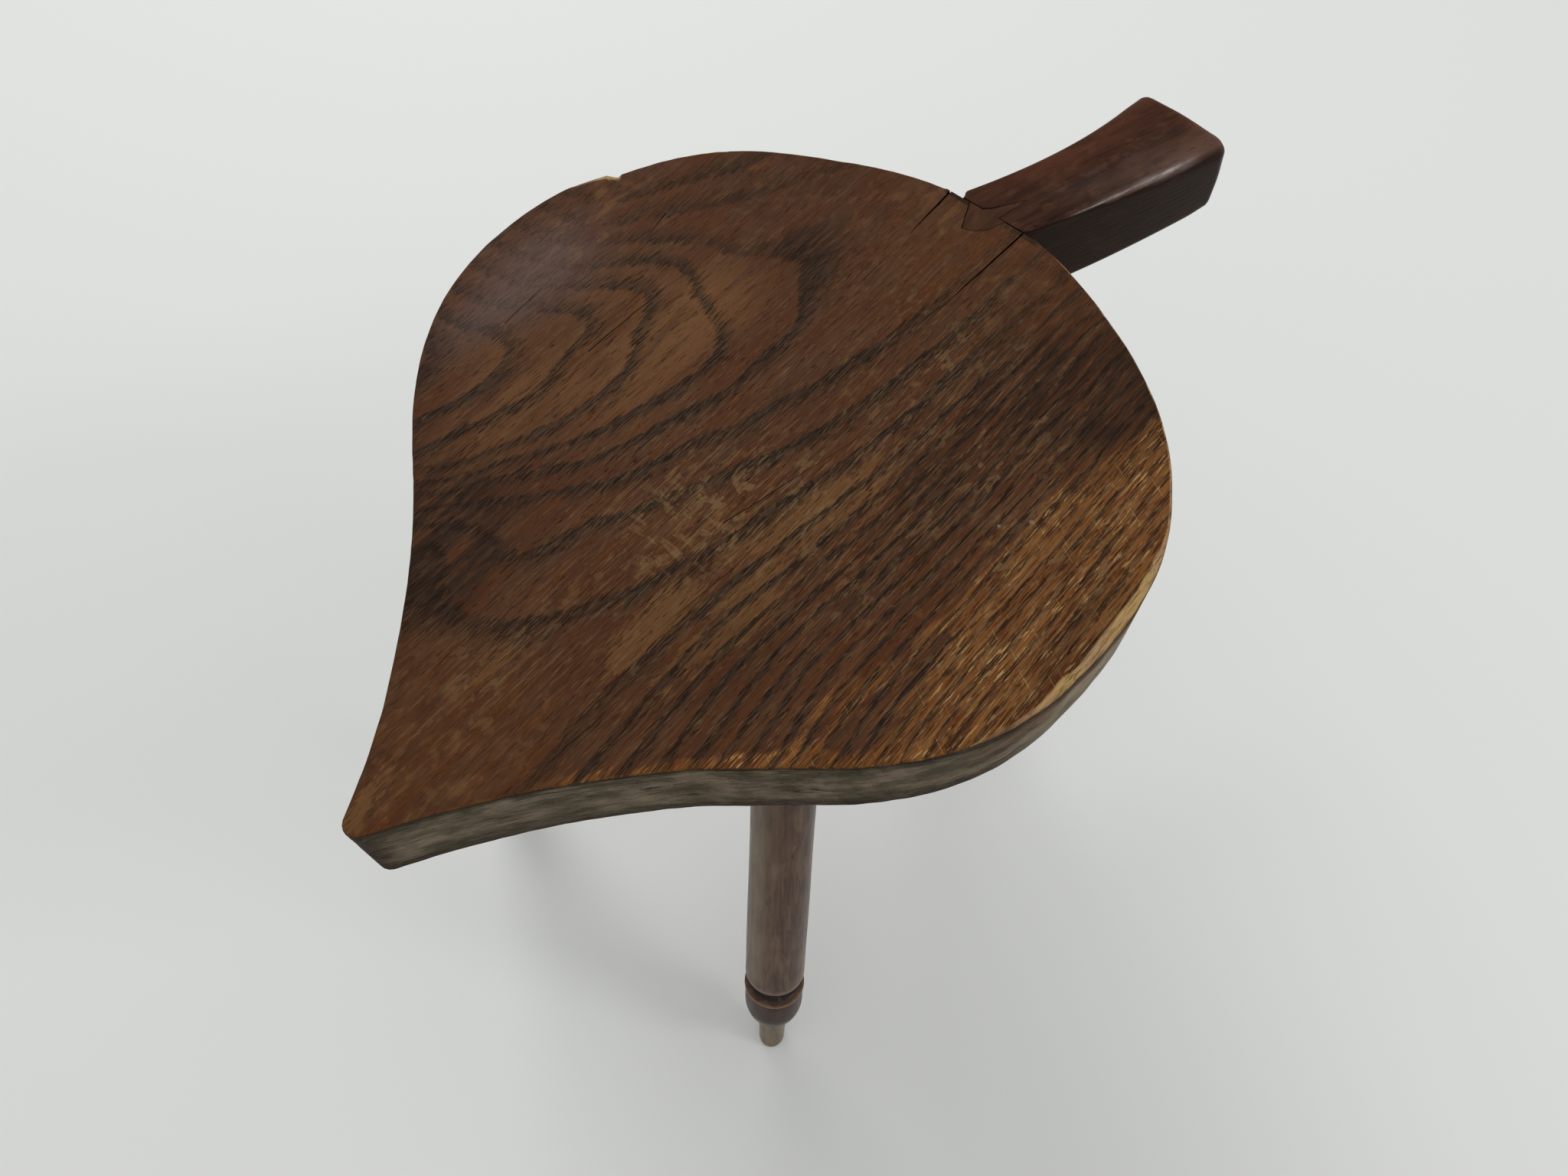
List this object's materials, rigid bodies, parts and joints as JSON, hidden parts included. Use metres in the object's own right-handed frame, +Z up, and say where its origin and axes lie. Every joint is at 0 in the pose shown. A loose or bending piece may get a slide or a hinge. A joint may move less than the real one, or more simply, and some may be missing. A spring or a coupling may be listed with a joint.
{
  "type": "stool",
  "caption": "Low wooden stool with a leaf-shaped plank seat, a flared stem that serves as a handle, and splayed turned legs on small peg feet.",
  "frame": {"origin": "on the floor, under the middle of the stool's box", "axes": "+Z up, +X from the leaf's tip to the stem, +Y to the side away from the stem's bend"},
  "size_m": [0.5078, 0.336, 0.379],
  "materials": {
    "seat_wood": "dark stained and waxed coarse-grained elm, worn to a lighter brown at one edge",
    "stem_wood": "dark stained elm, polished by handling",
    "key_wood": "dark stained hardwood, flush with the seat",
    "leg_wood": "dark stained turned beech, satin, worn pale at the peg foot",
    "hidden_wood": "bare split ash"
  },
  "bodies": {
    "root": {"seat_board": "seat_wood", "stem_handle": "stem_wood", "stem_key": "key_wood", "rear_stem_peg": "hidden_wood", "front_stem_peg": "hidden_wood", "front_right_leg": "leg_wood", "front_left_leg": "leg_wood", "rear_leg": "leg_wood", "front_right_wedge": "hidden_wood", "front_left_wedge": "hidden_wood", "rear_wedge": "hidden_wood"}
  },
  "joints": []
}
